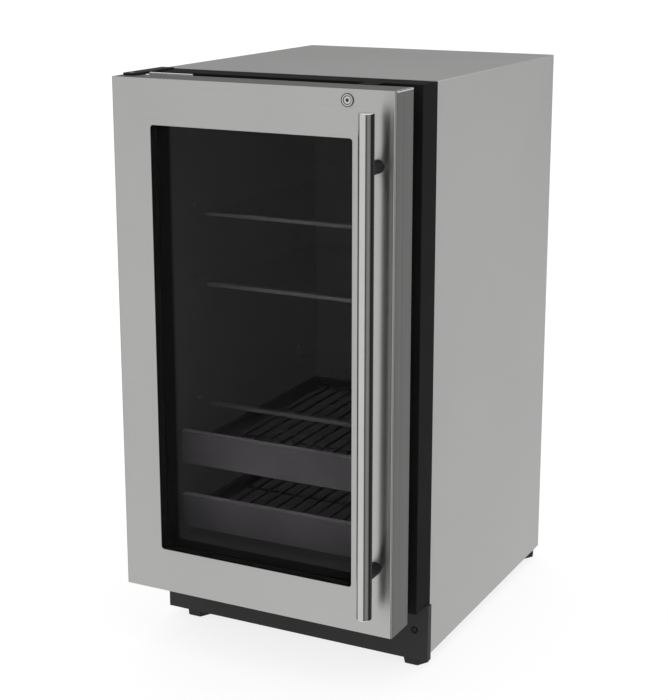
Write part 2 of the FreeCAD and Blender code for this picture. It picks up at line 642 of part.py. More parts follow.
def door_gasket():
    x = (LINER_FRAME_X[0] + 1, LINER_FRAME_X[1] - 1)
    z = (LINER_FRAME_Z[0] + 1, LINER_FRAME_Z[1] - 1)
    inner_x = (x[0] + GASKET_W, x[1] - GASKET_W)
    inner_z = (z[0] + GASKET_W, z[1] - GASKET_W)
    add("door_gasket", *frame_bars(x, z, inner_x, inner_z, GASKET_Y))


def handle():
    bar = rod((HANDLE_X, HANDLE_Y, HANDLE_Z[0]), HANDLE_R, HANDLE_Z[1] - HANDLE_Z[0])
    bar = bar.makeFillet(HANDLE_END_R, [e for e in bar.Edges if e.Curve.TypeId == "Part::GeomCircle"])
    add("handle_bar", bar)
    posts = []
    for z in POST_Z:
        post = rod((HANDLE_X, HANDLE_Y, z), POST_R, DOOR_FRONT - HANDLE_Y, (0, 1, 0))
        stud = rod((HANDLE_X, DOOR_FRONT - 1, z), STUD_R, STUD_LEN, (0, 1, 0))
        posts.append(cut(fuse([post, stud]), [bar]))
    add("handle_posts", *posts)


def door_hinge_plate():
    """A plate let into the door's top, with a slot, a small hole and a lip along its back edge."""
    front, back = HINGE_PLATE_Y
    plate = box(HINGE_PLATE_X, (front, back), (DOOR_TOP - HINGE_PLATE_T, DOOR_TOP))
    slot = box((-160, -149), (-100, -95), ANY)
    small_hole = rod((-133, -99, 0), 2.2, 2000)
    plate = cut(plate, [rod((PIVOT_X, PIVOT_Y, 0), BUSH_R, 2000), slot, small_hole])
    lip = box((LIP_START, HINGE_PLATE_X[1]), (back - 1.6, back), (DOOR_TOP, DOOR_TOP + LIP_H))
    add("door_hinge_plate", plate, lip)


def hinge_bushings():
    bore_r = PIN_R + RUNNING
    upper = rod((PIVOT_X, PIVOT_Y, DOOR_TOP - HINGE_PLATE_T - BUSH_LEN), BUSH_R, BUSH_LEN + HINGE_PLATE_T)
    sleeve = rod((PIVOT_X, PIVOT_Y, DOOR_BOTTOM), BUSH_R, BUSH_LEN)
    flange = rod((PIVOT_X, PIVOT_Y, ARM_TOP + 0.05), BUSH_R + 4, DOOR_BOTTOM - ARM_TOP - 0.05)
    lower = fuse([sleeve, flange])
    bore = rod((PIVOT_X, PIVOT_Y, 0), bore_r, 2000)
    add("hinge_bushings", cut(upper, [bore]), cut(lower, [bore]))


# ---- hinges on the cabinet -------------------------------------------------
def arm(back, z):
    """A flat arm from the cabinet to the hinge axis, with a rounded end."""
    blank = box(ARM_X, (ARM_FRONT, back), z)
    return round_edges(blank, ARM_END_R, lambda e: is_along(e, 2) and e.CenterOfMass.y < ARM_FRONT + 1)


def hinge_brackets():
    pin_hole = rod((PIVOT_X, PIVOT_Y, 0), PIN_R, 2000)
    add("upper_hinge_bracket", cut(arm(ARM_BACK, UPPER_ARM_Z), [pin_hole]))
    flange = box(ARM_X, LOWER_FLANGE_Y, (LOWER_FLANGE_BOTTOM, LOWER_ARM_Z[0]))
    add("lower_hinge_bracket", cut(arm(LOWER_FLANGE_Y[1], LOWER_ARM_Z), [pin_hole]), flange)
    upper_low = DOOR_TOP - HINGE_PLATE_T - BUSH_LEN + 2
    lower_low = LOWER_ARM_Z[0] - PIN_PROUD
    upper = rod((PIVOT_X, PIVOT_Y, upper_low), PIN_R, UPPER_ARM_Z[1] + PIN_PROUD - upper_low)
    lower = rod((PIVOT_X, PIVOT_Y, lower_low), PIN_R, BUSH_LEN + ARM_T - 1)
    add("hinge_pins", upper, lower)


def kick_dimple(x, r_front, r_back, start, end):
    return Part.makeCone(r_front, r_back, end - start, FreeCAD.Vector(x, start, KICK_SCREW_Z),
                         FreeCAD.Vector(0, 1, 0))


def toe_kick():
    """The black louvred plate under the door, with a pressed cup for each screw and a return at each side."""
    z = (KICK_BOTTOM, COLLAR_BOTTOM - 1)
    y = (KICK_FACE, KICK_FACE + SHEET)
    plate = box((-KICK_HALF_W, KICK_HALF_W), y, z)
    notch = box((ARM_X[0] - 2, ARM_X[1] + 2), y, (LOWER_ARM_Z[0] - 1, COLLAR_BOTTOM))
    slots = [box((x - 1.8, x + 1.8), ANY, (46, 92)) for x in range(-176, 177, 8)]
    spots = (-KICK_SCREW_X, KICK_SCREW_X)
    cups = [kick_dimple(x, DIMPLE_R + SHEET, DIMPLE_FLOOR_R + SHEET, y[1], POST_FACE) for x in spots]
    hollows = [kick_dimple(x, DIMPLE_R, DIMPLE_FLOOR_R, KICK_FACE, POST_FACE - SHEET) for x in spots]
    returns = [box(sorted((side * (KICK_HALF_W - SHEET), side * KICK_HALF_W)), (y[1], -2), z)
               for side in (-1, 1)]
    add("toe_kick", cut(fuse([plate] + cups), [notch] + slots + hollows), *returns)


# ---- lock ------------------------------------------------------------------
def lock_rod(start, radius, end):
    """A cylinder on the lock's axis between two depths."""
    return rod((LOCK_X, start, LOCK_Z), radius, end - start, (0, 1, 0))


def lock():
    body = fuse([lock_rod(DOOR_FRONT - 1.2, LOCK_FLANGE_R, DOOR_FRONT),
                 lock_rod(DOOR_FRONT, LOCK_BARREL_R, DOOR_BACK)])
    body = body.makeChamfer(0.5, [e for e in body.Edges if e.CenterOfMass.y < DOOR_FRONT - 1.1])
    add("lock_body", cut(body, [lock_rod(DOOR_FRONT - 5, PLUG_R + RUNNING, DOOR_BACK + 5)]))
    plug = lock_rod(DOOR_FRONT - 1.0, PLUG_R, CAM_Y[0])
    plug = plug.makeChamfer(0.4, [e for e in plug.Edges if e.CenterOfMass.y < DOOR_FRONT - 0.9])
    tail = lock_rod(CAM_Y[0] - 1, STUD_R, CAM_Y[1] + 2.5)
    add("lock_plug", cut(fuse([plug, tail]), [lock_rod(DOOR_FRONT - 2, KEYHOLE_R, DOOR_FRONT + 6)]))
    blade = box((LOCK_X - CAM_REACH, LOCK_X + CAM_HALF_H), CAM_Y, (LOCK_Z - CAM_HALF_H, LOCK_Z + CAM_HALF_H))
    blade = round_edges(blade, STUD_R, lambda e: is_along(e, 1))
    add("lock_cam", cut(blade, [lock_rod(-200, STUD_R, 100)]))
    lip_y = (CAM_Y[0] - 2.0, CAM_Y[0] - 0.6)
    x = (LOCK_X - STRIKE_HALF_W, LOCK_X + STRIKE_HALF_W)
    roof_low = COLLAR_TOP - 1.5
    pad_front = -COLLAR_D - 1.5
    lip = box(x, lip_y, (LOCK_Z + 6, roof_low))
    roof = box(x, (lip_y[0], pad_front), (roof_low, COLLAR_TOP))
    pad = box(x, (pad_front, -COLLAR_D), (LOCK_Z - 4, COLLAR_TOP))
    add("lock_strike", lip, roof, pad)


# ---- fasteners and feet ----------------------------------------------------
def screw(spot, axis, head_r, proud, length):
    """A screw with its head's underside at spot: a raised head, or a sunk cone if proud is 0."""
    direction = FreeCAD.Vector(*axis)
    spot = FreeCAD.Vector(*spot)
    shank = Part.makeCylinder(SCREW_R, length, spot, direction)
    if proud:
        head = Part.makeCone(head_r, head_r * 0.7, proud, spot, direction * -1)
        face = spot - direction * proud
    else:
        head = Part.makeCone(head_r, SCREW_R, SUNK_DEPTH, spot, direction)
        face = spot
    socket = Part.makeCylinder(head_r * 0.34, 0.9, face, direction)
    return cut(fuse([shank, head]), [socket])


def seat(name, screws, *plates):
    """Add a node of screws, and make the holes that they fill."""
    add(name, *screws)
    solids = [Part.Solid(screw.Solids[0].Shells[0]) for screw in screws]
    for plate in plates:
        nodes[plate] = [cut(shape, solids) for shape in nodes[plate]]


def all_screws():
    up, back = (0, 0, -1), (0, 1, 0)
    hinge = [screw((x, y, UPPER_ARM_Z[1]), up, 4.4, 0, 15) for x, y in UPPER_SCREWS]
    hinge += [screw((x, LOWER_FLANGE_Y[0], z), back, 3.6, 0, 8) for x, z in LOWER_SCREWS]
    seat("hinge_screws", hinge, "upper_hinge_bracket", "lower_hinge_bracket", "front_collar", "base_pan")
    kick = [screw((x, POST_FACE - SHEET, KICK_SCREW_Z), back, 3.8, 1.7, 8)
            for x in (-KICK_SCREW_X, KICK_SCREW_X)]
    rear = [screw((x, REAR_COVER_BACK, z), (0, -1, 0), 4.0, 0, 14) for x in (-204, 0, 204) for z in (35, 210)]
    seat("panel_screws", kick + rear, "toe_kick", "rear_cover", "rear_panel", "base_pan", "foam_insulation")
    plate = [screw((x, y, DOOR_TOP), up, 3.6, raised, 12)
             for x, y, raised in ((-194, -90, 1.0), (-176, -118, 0))]
    seat("door_plate_screws", plate, "door_hinge_plate", "door_skin", "door_core")


def foot(name, spot):
    x, y = spot
    pad = hexagon((x, y, 0), FOOT_R, 10, FOOT_R + 0.9)
    collar = hexagon((x, y, 10), FOOT_R - 0.4, 2)
    cap = hexagon((x, y, 12), FOOT_R + 1.2, FOOT_H - 12)
    shank = rod((x, y, FOOT_H - 1), SHANK_R - RUNNING, 36)
    add(f"foot_{name}", fuse([pad, collar, cap, shank]))


def build():
    outer_wrapper()
    rear_panel()
    base_pan()
    foam_insulation()
    inner_liner()
    front_collar()
    compressor()
    condenser_coil()
    condenser_fan()
    drain_pan()
    refrigerant_tubing()
    rear_cover()
    cord_gland()
    evaporator_cover()
    evaporator_coil()
    evaporator_fan()
    light_strip()
    control_panel()
    add("liner_supports", *shelf_supports(), *rack_rails())
    for level, top in SHELF_TOPS.items():
        shelf(level, top)
    for level, (low, high) in RACK_FRONTS.items():
        rack(level, low, high)
    door_skin()
    door_core()
    door_glass()
    window_bezel()
    door_inner_frame()
    door_gasket()
    handle()
    door_hinge_plate()
    hinge_bushings()
    hinge_brackets()
    toe_kick()
    lock()
    for name, spot in FOOT_SPOTS.items():
        foot(name, spot)
    all_screws()


def export():
    os.makedirs("parts", exist_ok=True)
    shift = FreeCAD.Vector(0, ROW_Y, 0)
    for name, shapes in nodes.items():
        solids = [solid for shape in shapes for solid in shape.Solids]
        whole = solids[0] if len(solids) == 1 else Part.makeCompound(solids)
        whole = whole.copy()
        whole.translate(shift)
        if not whole.isValid():
            print("not valid:", name)
        whole.exportStep(f"parts/{name}.step")
    print(len(nodes), "nodes")


build()
export()
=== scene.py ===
import json
import math

import bmesh
import bpy
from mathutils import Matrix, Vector


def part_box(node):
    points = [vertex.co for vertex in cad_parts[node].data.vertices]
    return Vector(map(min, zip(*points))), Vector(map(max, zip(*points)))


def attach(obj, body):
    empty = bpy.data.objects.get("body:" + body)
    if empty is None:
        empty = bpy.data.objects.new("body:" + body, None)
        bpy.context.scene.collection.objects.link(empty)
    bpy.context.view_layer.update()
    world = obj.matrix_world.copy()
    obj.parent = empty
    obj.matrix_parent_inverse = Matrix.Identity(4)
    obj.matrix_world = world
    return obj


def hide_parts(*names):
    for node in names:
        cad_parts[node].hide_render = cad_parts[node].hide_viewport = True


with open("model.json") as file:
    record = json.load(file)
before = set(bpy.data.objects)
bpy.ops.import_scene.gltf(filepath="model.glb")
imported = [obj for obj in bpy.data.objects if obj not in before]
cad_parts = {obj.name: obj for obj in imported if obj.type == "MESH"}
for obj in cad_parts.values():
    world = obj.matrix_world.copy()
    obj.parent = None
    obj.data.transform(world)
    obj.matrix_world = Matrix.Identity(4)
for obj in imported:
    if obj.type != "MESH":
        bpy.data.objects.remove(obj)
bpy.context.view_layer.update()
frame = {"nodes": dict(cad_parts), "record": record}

# Looks of an undercounter refrigerator. The scene is in metres, z is up and the door faces -Y.
# The pieces drawn here are sized in millimetres, and piece() turns them into metres.
SCENE = bpy.context.scene
NODES = frame["nodes"]
RECORD = frame["record"]
BODY_OF = {node: body for body, members in RECORD["behaviour"]["bodies"].items() for node in members}
SLOT_OF = {row["node"]: row["material_slot"] for row in RECORD["subparts"]}
MM = 0.001


# ---- materials -------------------------------------------------------------
# A Mix node repeats its socket names for numbers and vectors, so they are found by place.
MIX_SHARE = 0
MIX_NUMBERS = (2, 3)
MIX_VECTORS = (4, 5)
MIX_VECTOR_OUT = 1


class Shader:
    """A Principled material, with short ways to hang procedural texture on it."""

    def __init__(self, name, colour, roughness, metallic=0.0, **sockets):
        self.mat = bpy.data.materials.new(name)
        self.mat.use_nodes = True
        self.tree = self.mat.node_tree
        self.bsdf = self.tree.nodes["Principled BSDF"]
        self.colour = colour
        self.bsdf.inputs["Base Color"].default_value = (*colour, 1.0)
        self.bsdf.inputs["Roughness"].default_value = roughness
        self.bsdf.inputs["Metallic"].default_value = metallic
        for key, value in sockets.items():
            self.bsdf.inputs[key.replace("_", " ")].default_value = value
        coords = self.node("ShaderNodeTexCoord")
        self.place = coords.outputs["Object"]
        self.facing = coords.outputs["Normal"]
        self.normal = None

    def node(self, kind, **settings):
        made = self.tree.nodes.new(kind)
        for key, value in settings.items():
            setattr(made, key, value)
        return made

    def link(self, source, target):
        self.tree.links.new(source, target)

    def feed(self, value, socket):
        """Sets a socket to a number, or links another socket to it."""
        if isinstance(value, (int, float)):
            socket.default_value = value
        else:
            self.link(value, socket)

    def noise(self, scale, stretch=(1, 1, 1), detail=4.0, roughness=0.55):
        mapping = self.node("ShaderNodeMapping")
        mapping.inputs["Scale"].default_value = stretch
        self.link(self.place, mapping.inputs["Vector"])
        texture = self.node("ShaderNodeTexNoise")
        texture.inputs["Scale"].default_value = scale
        texture.inputs["Detail"].default_value = detail
        texture.inputs["Roughness"].default_value = roughness
        self.link(mapping.outputs["Vector"], texture.inputs["Vector"])
        return texture.outputs["Fac"]

    def spread(self, value, low, high, start=0.3, end=0.7):
        """Maps start..end of a texture to low..high."""
        node = self.node("ShaderNodeMapRange")
        for key, number in (("From Min", start), ("From Max", end), ("To Min", low), ("To Max", high)):
            node.inputs[key].default_value = number
        self.link(value, node.inputs["Value"])
        return node.outputs["Result"]

    def math(self, operation, a, b):
        node = self.node("ShaderNodeMath", operation=operation)
        self.feed(a, node.inputs[0])
        self.feed(b, node.inputs[1])
        return node.outputs[0]

    def choose(self, share, a, b):
        """Goes from a to b as the share goes from 0 to 1."""
        node = self.node("ShaderNodeMix", data_type="FLOAT")
        self.link(share, node.inputs[MIX_SHARE])
        for value, index in zip((a, b), MIX_NUMBERS):
            self.feed(value, node.inputs[index])
        return node.outputs[0]

    def faces_along(self, axis, start=0.8, end=0.95):
        """1 on faces square to an axis of the object, 0 on the others."""
        split = self.node("ShaderNodeSeparateXYZ")
        self.link(self.facing, split.inputs[0])
        size = self.math("ABSOLUTE", split.outputs[axis], 0.0)
        return self.spread(size, 0.0, 1.0, start, end)

    def times_on(self, faces, shade, factor):
        """Multiplies a shade by a factor where faces is 1."""
        return self.math("MULTIPLY", shade, self.spread(faces, 1.0, factor, 0.0, 1.0))

    def shade(self, factor):
        """Multiplies the base colour by a texture."""
        node = self.node("ShaderNodeVectorMath", operation="SCALE")
        node.inputs[0].default_value = self.colour
        self.link(factor, node.inputs["Scale"])
        self.link(node.outputs[0], self.bsdf.inputs["Base Color"])

    def polish(self, texture, low, high):
        """Spreads the roughness from low to high by a texture."""
        self.link(self.spread(texture, low, high), self.bsdf.inputs["Roughness"])

    def bump(self, texture, strength, depth):
        """Raises the surface by a texture, up to a depth in metres."""
        node = self.node("ShaderNodeBump")
        node.inputs["Strength"].default_value = strength
        node.inputs["Distance"].default_value = depth
        self.link(texture, node.inputs["Height"])
        if self.normal is not None:
            self.link(self.normal, node.inputs["Normal"])
        self.normal = node.outputs["Normal"]
        self.link(self.normal, self.bsdf.inputs["Normal"])

    def stretch_highlights(self, upright, lying, is_lying):
        """Highlights run across the brushing: along upright on walls and along lying on tops."""
        mix = self.node("ShaderNodeMix", data_type="VECTOR")
        self.link(is_lying, mix.inputs[MIX_SHARE])
        for direction, index in zip((upright, lying), MIX_VECTORS):
            mix.inputs[index].default_value = direction
        turn = self.node("ShaderNodeVectorTransform", vector_type="VECTOR",
                         convert_from="OBJECT", convert_to="WORLD")
        self.link(mix.outputs[MIX_VECTOR_OUT], turn.inputs[0])
        self.link(turn.outputs[0], self.bsdf.inputs["Tangent"])


# How fine the brushing of sheet steel is along its lines and across them.
BRUSH_ALONG, BRUSH_ACROSS = 4, 900
# Upright bands on the door's folded sides: stretch of their texture along x, y and z.
SIDE_BANDS = (4, 260, 0.6)


def brushed_steel(name, colour, roughness, painted_side_shade=1.0, painted_top_shade=1.0):
    """Sheet brushed level on its walls and left to right on its top, with painted shade on its sides and its
    top.
    """
    s = Shader(name, colour, roughness, 1.0, Anisotropic=0.95)
    lying = s.faces_along("Z")
    wall_grain = s.noise(1.0, (BRUSH_ALONG, BRUSH_ALONG, BRUSH_ACROSS), 3.0, 0.7)
    top_grain = s.noise(1.0, (BRUSH_ALONG, BRUSH_ACROSS, BRUSH_ALONG), 3.0, 0.7)
    grain = s.choose(lying, wall_grain, top_grain)
    cloud = s.spread(s.noise(3.5, detail=3.0), 0.975, 1.015)
    streak = s.spread(grain, 0.975, 1.025)
    shade = s.math("MULTIPLY", cloud, streak)
    # Painted shade: the base colour is darkened on faces looking along x, standing in for darker
    # reflections; the bands are grain.
    if painted_side_shade != 1.0:
        bands = s.noise(1.0, SIDE_BANDS, 2.0, 0.6)
        tone = s.math("MULTIPLY", s.spread(bands, 0.86, 1.16), painted_side_shade)
        shade = s.math("MULTIPLY", shade, s.choose(s.faces_along("X"), 1.0, tone))
    # Painted shade: the base colour is darkened on faces looking along z, standing in for a darker
    # reflection on the tops.
    if painted_top_shade != 1.0:
        shade = s.times_on(lying, shade, painted_top_shade)
    s.shade(shade)
    s.polish(grain, roughness - 0.03, roughness + 0.03)
    s.bump(grain, 0.10, 0.0001)
    s.stretch_highlights((0, 0, 1), (0, 1, 0), lying)
    return s.mat


def polished_steel(name, colour, roughness, grain=(600, 600, 12), painted_side_shade=1.0):
    """Bright steel with fine rub marks, and a painted dark reflection where it faces left and right."""
    s = Shader(name, colour, roughness, 1.0, Anisotropic=0.4)
    rub = s.noise(1.0, grain, 4.0, 0.6)
    shade = s.spread(s.noise(30.0), 0.97, 1.02)
    if painted_side_shade != 1.0:
        # Painted reflection: the base colour is darkened on faces looking along x, standing in for a dark
        # reflection.
        shade = s.times_on(s.faces_along("X", 0.70, 0.88), shade, painted_side_shade)
    s.shade(shade)
    s.polish(rub, roughness - 0.03, roughness + 0.04)
    s.bump(rub, 0.04, 0.0001)
    return s.mat


def plastic(name, colour, roughness, gloss=0.3, grain_size=1400.0, grain=0.12, glow=0.0, painted_top_light=1.0):
    """Moulded plastic: a spark-eroded grain and a slightly uneven gloss. A glow, and a lighter base colour
    on up-facing faces, are painted light.
    """
    s = Shader(name, colour, roughness, 0.0, Specular_IOR_Level=gloss, Emission_Strength=glow)
    broad = s.noise(14.0, detail=5.0)
    shade = s.spread(broad, 0.88, 1.12)
    # Painted light: up-facing faces get a lighter base colour, standing in for light from above.
    if painted_top_light != 1.0:
        shade = s.times_on(s.faces_along("Z"), shade, painted_top_light)
    s.shade(shade)
    s.polish(broad, roughness - 0.05, roughness + 0.07)
    s.bump(s.noise(grain_size, detail=2.0), grain, 0.0001)
    return s.mat


def paint(name, colour, roughness, gloss=0.3):
    """Powder coat on steel: a low orange peel and a fine fleck."""
    s = Shader(name, colour, roughness, 0.0, Specular_IOR_Level=gloss)
    s.shade(s.spread(s.noise(900.0, detail=2.0), 0.88, 1.12))
    s.polish(s.noise(20.0), roughness - 0.05, roughness + 0.07)
    s.bump(s.noise(420.0, detail=3.0), 0.08, 0.0003)
    return s.mat


def rubber(name, colour, roughness):
    """Matt rubber with a dusty, uneven tone."""
    s = Shader(name, colour, roughness, 0.0, Specular_IOR_Level=0.25)
    s.shade(s.spread(s.noise(60.0, detail=5.0), 0.8, 1.25))
    s.polish(s.noise(90.0), roughness - 0.08, roughness + 0.08)
    s.bump(s.noise(1500.0, detail=3.0), 0.15, 0.0002)
    return s.mat


def zinc(name, colour):
    """Galvanised sheet: crystals of different brightness."""
    s = Shader(name, colour, 0.42, 0.85)
    crystals = s.node("ShaderNodeTexVoronoi")
    crystals.inputs["Scale"].default_value = 70.0
    s.link(s.place, crystals.inputs["Vector"])
    split = s.node("ShaderNodeSeparateColor")
    s.link(crystals.outputs["Color"], split.inputs[0])
    s.shade(s.spread(split.outputs[0], 0.85, 1.1, 0.0, 1.0))
    s.polish(s.noise(160.0), 0.34, 0.5)
    s.bump(s.noise(700.0, detail=2.0), 0.04, 0.0002)
    return s.mat


def cast_metal(name, colour, roughness):
    """Bare metal with a fine, slightly rough skin."""
    s = Shader(name, colour, roughness, 1.0)
    s.shade(s.spread(s.noise(220.0), 0.88, 1.1))
    s.polish(s.noise(340.0, detail=3.0), roughness - 0.05, roughness + 0.1)
    s.bump(s.noise(1200.0, detail=2.0), 0.05, 0.0001)
    return s.mat


def pane(name, colour, hold, gloss=0.05):
    """Glass that holds back a share of the light at each face."""
    s = Shader(name, colour, 0.02, 0.0, Specular_IOR_Level=gloss, Alpha=hold)
    s.shade(s.spread(s.noise(25.0), 0.9, 1.1))
    s.polish(s.noise(9.0), 0.015, 0.035)
    return s.mat


def lens(name, colour, glow):
    """A milky light cover that glows a little."""
    s = Shader(name, colour, 0.35, Emission_Strength=glow)
    s.bsdf.inputs["Emission Color"].default_value = (1.0, 0.98, 0.96, 1.0)
    s.shade(s.spread(s.noise(400.0, detail=2.0), 0.95, 1.03))
    s.polish(s.noise(60.0), 0.3, 0.4)
    s.bump(s.noise(600.0, (1, 40, 40), 2.0), 0.1, 0.0002)
    return s.mat


def all_materials():
    """Every finish by its name; the numbers after a name are its colour and its roughness."""
    made = [
        # The top and side shade numbers below darken tops and sides as painted shade, standing in for darker
        # reflections.
        brushed_steel("stainless_cabinet", (0.55, 0.55, 0.545), 0.32, painted_top_shade=0.80),
        brushed_steel("stainless_door", (0.56, 0.56, 0.55), 0.31, painted_side_shade=0.275, painted_top_shade=0.285),
        # The handle's side shade number is a painted dark reflection on its sides.
        polished_steel("stainless_polished", (0.68, 0.68, 0.67), 0.10, painted_side_shade=0.05),
        polished_steel("bright_edge", (0.80, 0.80, 0.79), 0.2),
        brushed_steel("hinge_steel", (0.50, 0.50, 0.49), 0.3, painted_top_shade=0.32),
        zinc("galvanised", (0.42, 0.43, 0.44)),
        paint("black_steel", (0.014, 0.014, 0.014), 0.5, gloss=0.12),
        paint("kick_black", (0.024, 0.024, 0.024), 0.5, gloss=0.2),
        paint("compressor_black", (0.012, 0.012, 0.012), 0.25, gloss=0.5),
        paint("coil_black", (0.02, 0.02, 0.02), 0.4),
        paint("post_black", (0.010, 0.010, 0.011), 0.45, gloss=0.2),
        paint("rack_wire", (0.075, 0.075, 0.075), 0.4),
        paint("screw_black", (0.015, 0.015, 0.015), 0.35),
        plastic("foam", (0.62, 0.52, 0.30), 0.9, grain_size=300.0, grain=0.5),
        # The liner's faint glow is painted light: it is no lamp.
        plastic("liner", (0.055, 0.055, 0.056), 0.5, gloss=0.15, glow=0.012),
        plastic("collar_black", (0.010, 0.010, 0.0105), 0.55, gloss=0.03),
        plastic("fan_black", (0.02, 0.02, 0.02), 0.4),
        plastic("tray_plastic", (0.35, 0.35, 0.33), 0.5),
        plastic("gloss_black", (0.01, 0.01, 0.01), 0.12, gloss=0.5, grain=0.02),
        plastic("spacer_black", (0.014, 0.014, 0.014), 0.5, gloss=0.1),
        plastic("bezel_black", (0.011, 0.011, 0.0105), 0.5, gloss=0.08),
        plastic("frame_black", (0.04, 0.04, 0.04), 0.5, gloss=0.1),
        plastic("bushing_nylon", (0.6, 0.59, 0.55), 0.5),
        plastic("trim_grey", (0.15, 0.15, 0.15), 0.45, gloss=0.2),
        # The racks' faint glow and their lighter up-facing lips are painted light.
        plastic("rack_grey", (0.102, 0.094, 0.102), 0.45, gloss=0.2, glow=0.006, painted_top_light=3.5),
        plastic("foot_black", (0.018, 0.018, 0.018), 0.5, gloss=0.2),
        rubber("rubber", (0.02, 0.02, 0.02), 0.75),
        rubber("gasket", (0.035, 0.035, 0.035), 0.6),
        cast_metal("motor_steel", (0.42, 0.42, 0.42), 0.35),
        cast_metal("copper", (0.72, 0.36, 0.22), 0.3),
        cast_metal("aluminium", (0.62, 0.63, 0.64), 0.32),
        polished_steel("lock_chrome", (0.66, 0.66, 0.67), 0.14, grain=(400, 400, 400)),
        polished_steel("screw_bright", (0.7, 0.7, 0.7), 0.15, grain=(500, 500, 500)),
        lens("light_lens", (0.8, 0.82, 0.85), glow=1.5),
        pane("tinted_glass", (0.006, 0.006, 0.006), hold=0.13),
        pane("inner_glass", (0.01, 0.011, 0.011), hold=0.04),
        pane("shelf_glass", (0.02, 0.024, 0.023), hold=0.03, gloss=0.3),
    ]
    return {material.name: material for material in made}


# The plain materials of the loaded nodes make way for finished ones with the same names.
for plain in list(bpy.data.materials):
    bpy.data.materials.remove(plain)
MATERIALS = all_materials()

# Finishes that differ from the slot that they belong to.
FINISH_OF_NODE = {"door_inner_frame": "frame_black"}


def dress(obj, finish):
    """Gives an object one finish."""
    obj.data.materials.clear()
    obj.data.materials.append(MATERIALS[finish])


for node_name, node in NODES.items():
    dress(node, FINISH_OF_NODE.get(node_name, SLOT_OF[node_name]))


# ---- soft edges ------------------------------------------------------------
# Nodes whose edges are rounded, with the width of the rounding in millimetres.
SOFT_EDGES = {"outer_wrapper": 0.4, "door_skin": 0.6, "front_collar": 1.0, "toe_kick": 0.4,
              "door_inner_frame": 2.0, "inner_liner": 0.5, "rear_cover": 0.4, "handle_posts": 0.4}
NODE_EDGE_DEG = 40        # an edge is rounded where its faces turn by more than this
PIECE_EDGE_DEG = 35       # the same for the pieces drawn here


def soften(obj, width_mm, edge_deg):
    bevel = obj.modifiers.new("soft_edge", "BEVEL")
    bevel.width = width_mm * MM
    bevel.segments = 2
    bevel.limit_method = "ANGLE"
    bevel.angle_limit = math.radians(edge_deg)


for node_name, width_mm in SOFT_EDGES.items():
    soften(NODES[node_name], width_mm, NODE_EDGE_DEG)


# ---- tools for the pieces drawn here ---------------------------------------
def piece(name, points_mm, faces, finish, body, bevel_mm=0.0, smooth=False):
    """A closed mesh, drawn where it sits in the refrigerator, that rides on a body."""
    mesh = bpy.data.meshes.new(name)
    mesh.from_pydata([Vector(point) * MM for point in points_mm], [], faces)
    shell = bmesh.new()
    shell.from_mesh(mesh)
    bmesh.ops.recalc_face_normals(shell, faces=shell.faces)
    shell.to_mesh(mesh)
    shell.free()
    for polygon in mesh.polygons:
        polygon.use_smooth = smooth
    obj = bpy.data.objects.new(name, mesh)
    SCENE.collection.objects.link(obj)
    dress(obj, finish)
    if bevel_mm:
        soften(obj, bevel_mm, PIECE_EDGE_DEG)
    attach(obj, body)
    return obj


def box_mm(node_name):
    """Lowest and highest corner of a CAD node, in millimetres."""
    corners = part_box(node_name)
    return Vector(corners[0]) / MM, Vector(corners[1]) / MM


def circle(steps):
    """Angles of points spaced evenly around a circle."""
    return [2 * math.pi * i / steps for i in range(steps)]


def joined_rings(rings, closed=False):
    """Points and faces of a skin over rings of equally many points, capped at both ends unless closed."""
    size = len(rings[0])
    points = [point for ring in rings for point in ring]
    faces = []
    count = len(rings)
    for row in range(count if closed else count - 1):
        here, above = row * size, (row + 1) % count * size
        for i in range(size):
            j = (i + 1) % size
            faces.append((here + i, here + j, above + j, above + i))
    if not closed:
        faces.append(tuple(range(size)))
        faces.append(tuple(range((count - 1) * size, count * size)))
    return points, faces


TURNED_STEPS = 48


def turned(name, outline, axis_x, axis_z, finish, body, closed=False):
    """A disc, or a closed ring, turned about a line along y; the outline is of radius and y."""
    rings = [[(axis_x + radius * math.cos(turn), y, axis_z + radius * math.sin(turn))
              for turn in circle(TURNED_STEPS)] for radius, y in outline]
    piece(name, *joined_rings(rings, closed), finish, body)


def block(name, low, high, finish, body, bevel_mm):
    """A box with rounded edges between two corners."""
    rings = [[(low.x, y, low.z), (high.x, y, low.z), (high.x, y, high.z), (low.x, y, high.z)]
             for y in (low.y, high.y)]
    piece(name, *joined_rings(rings), finish, body, bevel_mm)


# ---- seal of the door ------------------------------------------------------
# Half of the seal's cross-section: how far in from its edge, and how far back, as shares of its size.
SEAL_FOLDS = ((0.06, 0.0), (0.06, 0.11), (0.21, 0.22), (0.07, 0.35), (0.20, 0.49), (0.04, 0.61),
              (0.04, 0.93), (0.10, 1.0))
SEAL_WIDTH = 16.0
SEAL_EDGE = 0.35


def door_seal():
    """A bellows seal with a magnet pocket, mitred at the corners."""
    low, high = box_mm("door_gasket")
    depth = high.y - low.y
    profile = list(SEAL_FOLDS) + [(1 - across, back) for across, back in reversed(SEAL_FOLDS)]
    rings = []
    for across, back in profile:
        u, y = across * SEAL_WIDTH, low.y + back * depth
        rings.append([(low.x + u, y, low.z + u), (high.x - u, y, low.z + u),
                      (high.x - u, y, high.z - u), (low.x + u, y, high.z - u)])
    seal = piece("door_seal", *joined_rings(rings, closed=True), "gasket", BODY_OF["door_gasket"], SEAL_EDGE)
    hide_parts("door_gasket")


